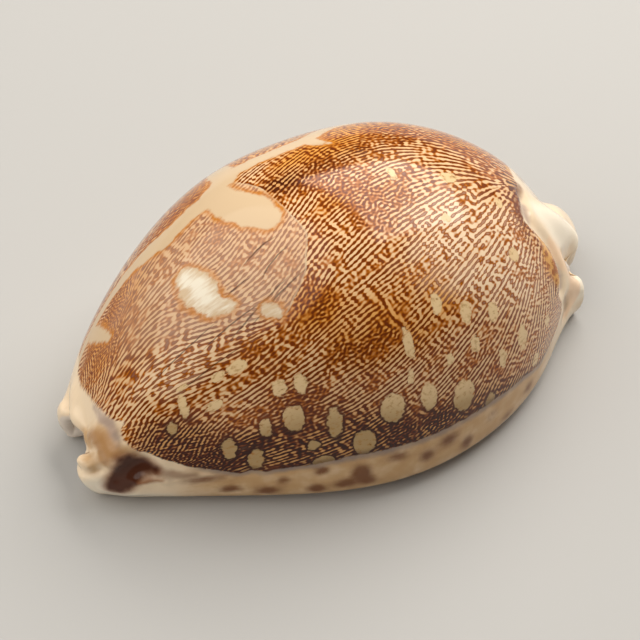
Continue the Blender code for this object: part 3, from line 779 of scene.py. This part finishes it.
class Material:
    """A node material and the few ways in which its nodes are added."""

    def __init__(self, name):
        self.made = bpy.data.materials.new(name)
        self.made.use_nodes = True
        self.tree = self.made.node_tree
        self.surface = self.tree.nodes["Principled BSDF"]

    def node(self, kind, settings, values, output=0):
        node = self.tree.nodes.new(kind)
        for name, value in settings.items():
            setattr(node, name, value)
        places = values.items() if isinstance(values, dict) else enumerate(values)
        for place, value in places:
            self.put(node.inputs[place], value)
        return Link(self, node.outputs[output])

    def put(self, socket, value):
        if isinstance(value, Link):
            self.tree.links.new(value.socket, socket)
        else:
            socket.default_value = value

    def kept(self, name, output="Fac"):
        return self.node("ShaderNodeAttribute", {"attribute_name": name}, {}, output)

    def vector(self, operation, *values):
        output = "Value" if operation in ("DOT_PRODUCT", "DISTANCE", "LENGTH") else "Vector"
        return self.node("ShaderNodeVectorMath", {"operation": operation}, values, output)

    def noise(self, place, scale, detail=2.0, roughness=0.5, output="Fac"):
        values = {"Vector": place, "Scale": scale, "Detail": detail, "Roughness": roughness}
        return self.node("ShaderNodeTexNoise", {"noise_dimensions": "3D"}, values, output)

    def mix(self, share, first, second):
        settings = {"data_type": "RGBA", "blend_type": "MIX"}
        return self.node("ShaderNodeMix", settings, {0: share, 6: first, 7: second}, 2)

    def waves(self, place, cell, frequency, anisotropy, turn):
        """Waves across the way that turn gives, in patches as large as a cell, about 0.5 on average."""
        values = {"Vector": place, "Scale": 1 / cell, "Frequency": frequency, "Anisotropy": anisotropy}
        values[TURN_SOCKET] = turn
        return self.node("ShaderNodeTexGabor", {"gabor_type": "2D"}, values, "Value")


class ShellMaterial(Material):
    """The shell's polished material, with its maps of place and the unevenness that its parts share."""

    def __init__(self):
        super().__init__("patterned_shell")
        self.raw = self.kept("place", "Vector")
        self.body = self.kept("body", "Vector")
        drift = self.vector("SUBTRACT", self.noise(self.raw, 0.9, 2.0, output="Color"), (0.5, 0.5, 0.5))
        self.place = self.vector("MULTIPLY_ADD", drift, (LINE_DRIFT, LINE_DRIFT, 0.0), self.raw)
        self.wobble = (self.noise(self.raw, 0.8, 4.0, 0.6) - 0.5) * 1.6
        self.ragged = (self.noise(self.body, 0.9, 3.0) - 0.5) * 0.5
        self.cloud = self.noise(self.raw, 0.35, 3.0) - 0.5
        self.streaks = self.noise(self.vector("MULTIPLY", self.raw, (0.45, 1.8, 1.0)), 1.2, 3.0) - 0.5


def net_of_lines(shell):
    """Above zero where the pattern is brown: long lines, links across them, and mazes."""
    run = shell.kept("run", "Vector")
    turn = shell.kept("turn")
    closeness = shell.kept("closeness")
    lines = None
    for shift in LINE_SHIFTS:
        step = shell.node("ShaderNodeVectorMath", {"operation": "SCALE"}, {0: run, 3: shift})
        moved = shell.vector("ADD", shell.place, step)
        wave = shell.waves(moved, CELL, closeness * (CELL / LINE_SPACING), 1.0, turn)
        lines = wave if lines is None else lines + wave
    lines = (lines - len(LINE_SHIFTS) / 2) * LINE_CONTRAST
    across = turn + math.pi / 2
    links = shell.waves(shell.place, CROSS_CELL, closeness * (CROSS_CELL / CROSS_SPACING), 0.8, across)
    maze = shell.waves(shell.place, CROSS_CELL, closeness * (CROSS_CELL / LINE_SPACING), 0.4, turn)
    share = (shell.kept("maze") + (shell.noise(shell.place, 0.3, 1.0) - 0.5) * 1.8).step(0.05, 0.7)
    share = share * MOST_MAZE
    net = lines + (links - 0.5) * LINK_CONTRAST
    return net * (1 - share) + ((maze - 0.5) * MAZE_CONTRAST + MAZE_FILL) * share


def pattern_colours(shell):
    """The colours of the net and its cells, and those of its dark lines alone."""
    amber, dark, pale = shell.kept("amber"), shell.kept("dark"), shell.kept("pale")
    broad = shell.noise(shell.raw, 0.16, 3.0) - 0.5
    fine = shell.noise(shell.raw, 1.4, 3.0) - 0.5
    net = net_of_lines(shell) + NET_FILL + dark * DARK_FILL + pale * PALE_FILL
    net = net + broad * PATCH_FILL + fine * SPECK_FILL

    cells = shell.mix((pale + broad).step(0.1, 0.8), PALE_CELL, LIGHT_CELL)
    cells = shell.mix((amber + broad * 1.4).step(0.0, 1.0), cells, GOLD_CELL)
    cells = shell.mix((dark + broad * 0.5).step(0.1, 0.9), cells, DUSK_CELL)
    lines = shell.mix((dark + broad).step(0.1, 1.0), LINE_BROWN, DARK_BROWN)
    edges = shell.mix((dark + broad * 0.5).step(0.2, 0.9), EDGE_AMBER, LINE_BROWN)
    colours = shell.mix(net.step(-0.42, -0.02), cells, edges)
    inner = net.step(0.0, 0.4) * (pale + broad).step(0.1, 0.8)
    return shell.mix(net.step(-0.12, 0.22), colours, shell.mix(inner, lines, DASH_BROWN)), lines


def add_worn_facet(shell, colours):
    """Fades the pattern inside the worn facet and draws its edge."""
    worn = shell.kept("worn") + shell.wobble * 0.25
    wear = shell.kept("wear")
    soft = 0.1 + (1 - wear) * 4
    settings = {"interpolation_type": "SMOOTHSTEP"}
    faded = shell.node("ShaderNodeMapRange", settings, (worn, 0 - soft, soft, 1.0, 0.0))
    colours = shell.mix(faded * (0.42 + shell.streaks * 0.5).clamped(), colours, WORN_PINK)
    edge = (worn * worn).step(0.03, 0.0) * wear.step(0.8, 0.98)
    return shell.mix(edge * (0.55 + shell.cloud * 2).clamped(), colours, CREAM)


def add_crack_shadows(shell, colours):
    """Draws each crack as a thin bent oval of dark brown, a painted shadow of its crease."""
    near = None
    for along, across, degrees, half_length in CRACK_SHADOWS:
        run, rise = math.cos(math.radians(degrees)), math.sin(math.radians(degrees))
        away = shell.vector("SUBTRACT", shell.place, (along, across, 0.0))
        share = shell.vector("DOT_PRODUCT", away, (run, rise, 0.0)) * (1 / half_length)
        sideways = shell.vector("DOT_PRODUCT", away, (-rise, run, 0.0))
        bent = (sideways + share * share * CRACK_BEND) * (1 / CRACK_WIDTH)
        oval = bent * bent + share * share
        near = oval if near is None else near.at_most(oval)
    return shell.mix(near.step(1.4, 0.2) * 0.7, colours, DARK_BROWN)


def distance_to_windows(shell):
    """Distance to the nearest window's edge, in millimetres, negative inside, with a ragged edge."""
    near = None
    for along, across, width, height in WINDOWS:
        away = shell.vector("SUBTRACT", shell.place, (along, across, 0.0))
        away = shell.vector("MULTIPLY", away, (1 / width, 1 / height, 0.0))
        edge = (shell.vector("LENGTH", away) - 1) * min(width, height)
        near = edge if near is None else near.at_most(edge)
    return near + (shell.noise(shell.raw, 1.1, 3.0) - 0.5) * 0.9


def add_windows(shell, colours, lines):
    """Paints the pale windows with their stains, and a dark rim where the pattern is dark."""
    near = distance_to_windows(shell)
    dark = shell.kept("dark")
    stain = (shell.noise(shell.raw, 0.5, 4.0, 0.7) - 0.5) * 2.0
    mottle = shell.noise(shell.raw, 1.3, 5.0, 0.6)
    inside = shell.mix(dark.step(0.2, 0.8), WINDOW_CREAM, WINDOW_TAN)
    inside = shell.mix(mottle.step(0.5, 0.66) * 0.55, inside, WINDOW_STAIN)
    inside = shell.mix((stain + near * 0.5).step(0.05, 0.4), inside, EDGE_AMBER)
    inside = shell.mix((mottle - stain * 0.25 + near * 0.03).step(0.66, 0.72) * 0.85, inside, lines)
    rim = near.step(0.5, 0.22) * dark.step(0.1, 0.5)
    colours = shell.mix(rim * 0.9, colours, lines)
    return shell.mix(near.step(0.14, -0.04), colours, inside)


def add_mantle_line(shell, colours):
    """Paints the mantle line and the bleached patches, with a golden edge."""
    bleach = shell.kept("bleach")
    near = (shell.kept("mantle") + shell.wobble * 0.8).at_most(bleach + shell.wobble * 1.1)
    colours = shell.mix(near.step(0.9, 0.1) * (0.65 + shell.cloud * 2.0).clamped(), colours, GOLD)
    white = (shell.streaks + shell.cloud - bleach * 0.25).step(-0.1, 0.5)
    return shell.mix(near.step(0.2, -0.3), colours, shell.mix(white, CREAM, BLEACHED_WHITE))


def distance_to_hollow(shell):
    """Distance to the anterior end's dark hollow, in millimetres, negative inside, with a ragged edge."""
    near = None
    for x, y, z, size in HOLLOW_SPOTS:
        away = shell.vector("DISTANCE", shell.body, (x, y, z)) - size
        near = away if near is None else near.blended(away, HOLLOW_BLEND)
    return near + shell.ragged


def callus_colours(shell, shade):
    """The callus of the margins and the two ends, with its paints, its dark hollow and its blotches."""
    # The near margin's tan, partly the callus's own fawn and partly painted shade
    tan = (shade * 0.85 + shell.cloud * 1.2 * shade).step(0.0, 1.0)
    callus = shell.mix(tan, CALLUS_CREAM, CALLUS_TAN)
    for name, paint, strength, soft in CALLUS_PAINTS:
        callus = shell.mix((shell.kept(name) + shell.ragged).step(soft, -0.45) * strength, callus, paint)
    # The hollow's dark brown, partly the shell's own colour and partly painted shade
    hollow = distance_to_hollow(shell)
    callus = shell.mix(hollow.step(1.1, -0.3) * 0.8, callus, HOLLOW_RUST_AND_SHADE)
    callus = shell.mix(hollow.step(0.4, -0.5) * 0.95, callus, HOLLOW_BROWN_AND_SHADE)
    callus = shell.mix((shell.kept("fold") + shell.ragged).step(0.5, -0.45) * 0.8, callus, FOLD_AMBER)
    blotches = (shell.kept("blotches") + shell.cloud * 0.7).step(0.04, 0.85)
    return shell.mix(blotches * 0.85, callus, BLOTCH_BROWN)


def add_callus(shell, colours):
    """Lays the callus over the pattern's edge, with painted shade along it on the margin: lilac outside the
    edge and dark inside it.
    """
    shade = shell.kept("shade")
    margin = shade.step(0.3, 0.8)
    past_edge = shell.kept("past_edge") + shell.wobble * 0.5
    # Painted shade along the step from the pattern to the margin: grey-lilac on the callus outside the edge
    lilac = past_edge.step(1.5, 0.3) * margin * (0.75 + shell.cloud).clamped()
    callus = shell.mix(lilac, callus_colours(shell, shade), EDGE_SHADE_LILAC)
    # Painted shade: dark brown just inside the pattern's edge on the margin
    colours = shell.mix(past_edge.step(-1.4, -0.1) * margin * 0.55, colours, DARK_BROWN)
    return shell.mix(past_edge.step(-0.15, 0.25), colours, callus)


def add_crescent(shell, colours):
    """Paints the veined amber crescent of the posterior end, and the dark rim beside it."""
    veins = shell.noise(shell.vector("MULTIPLY", shell.body, (1.0, 1.0, 0.5)), 1.1, 4.0, 0.65)
    crescent = shell.mix(veins.step(0.44, 0.56), CRESCENT_AMBER, CRESCENT_GOLD)
    near = (shell.kept("crescent") + shell.ragged).step(0.4, -0.3)
    colours = shell.mix(near * (0.95 + shell.cloud * 0.8).clamped(), colours, crescent)
    near = (shell.kept("dark_rim") + shell.ragged).step(0.9, -0.4)
    return shell.mix(near * 0.7, colours, RIM_BROWN)


def shell_material():
    """The shell's colours from the pattern up to the paints that lie over it, under one polish."""
    shell = ShellMaterial()
    colours, lines = pattern_colours(shell)
    colours = add_worn_facet(shell, colours)
    colours = add_crack_shadows(shell, colours)
    colours = add_windows(shell, colours, lines)
    colours = add_mantle_line(shell, colours)
    colours = add_callus(shell, colours)
    colours = add_crescent(shell, colours)
    colours = shell.mix(shell.kept("inside"), colours, INNER_WHITE)
    shell.put(shell.surface.inputs["Base Color"], colours)
    roughness = POLISH_ROUGHNESS + (shell.noise(shell.raw, 0.25, 3.0) - 0.5) * 0.06
    shell.put(shell.surface.inputs["Roughness"], roughness)
    shell.surface.inputs["IOR"].default_value = POLISH_IOR
    return shell.made


def make_floor():
    deselect_all()
    bpy.ops.mesh.primitive_plane_add(size=FLOOR_SIZE, location=(0, 0, 0))
    floor = bpy.context.object
    floor.name = "floor"
    paint = Material("floor_paint")
    paint.surface.inputs["Base Color"].default_value = FLOOR_GREY
    paint.surface.inputs["Roughness"].default_value = FLOOR_ROUGHNESS
    floor.data.materials.append(paint.made)


def make_light(name, shape, place, size, brightness, tint):
    """A soft light that faces straight down. Its brightness is that of its face in the scene's units."""
    light = bpy.data.lights.new(name, "AREA")
    light.shape = shape
    light.size, light.size_y = size
    area = size[0] * size[1] * (math.pi / 4 if shape == "ELLIPSE" else 1)
    light.energy = brightness * area * math.pi
    light.color = tint
    lamp = bpy.data.objects.new(name, light)
    lamp.location = place
    bpy.context.scene.collection.objects.link(lamp)


def make_lights():
    for softbox in SOFTBOXES:
        make_light(*softbox)
    world = bpy.data.worlds.new("studio")
    world.use_nodes = True
    world.node_tree.nodes["Background"].inputs["Color"].default_value = STUDIO_TINT
    world.node_tree.nodes["Background"].inputs["Strength"].default_value = STUDIO_BRIGHTNESS
    bpy.context.scene.world = world


def make_camera():
    """The camera looks at the middle of the shell. Its framing turns it a little from there."""
    back = Vector((
        math.sin(CAMERA_AZIMUTH) * math.cos(CAMERA_ELEVATION),
        -math.cos(CAMERA_AZIMUTH) * math.cos(CAMERA_ELEVATION),
        math.sin(CAMERA_ELEVATION),
    ))
    right = Vector((math.cos(CAMERA_AZIMUTH), math.sin(CAMERA_AZIMUTH), 0))
    up = back.cross(right)
    camera = bpy.data.objects.new("camera", bpy.data.cameras.new("camera"))
    camera.location = CAMERA_AIM + back * CAMERA_DISTANCE
    aim = CAMERA_AIM + right * CAMERA_FRAMING.x + up * CAMERA_FRAMING.y
    camera.rotation_euler = (aim - camera.location).to_track_quat("-Z", "Y").to_euler()
    camera.data.lens = CAMERA_LENS
    bpy.context.scene.collection.objects.link(camera)
    bpy.context.scene.camera = camera


bpy.context.scene.view_settings.view_transform = "Standard"
make_shell()
make_floor()
make_lights()
make_camera()
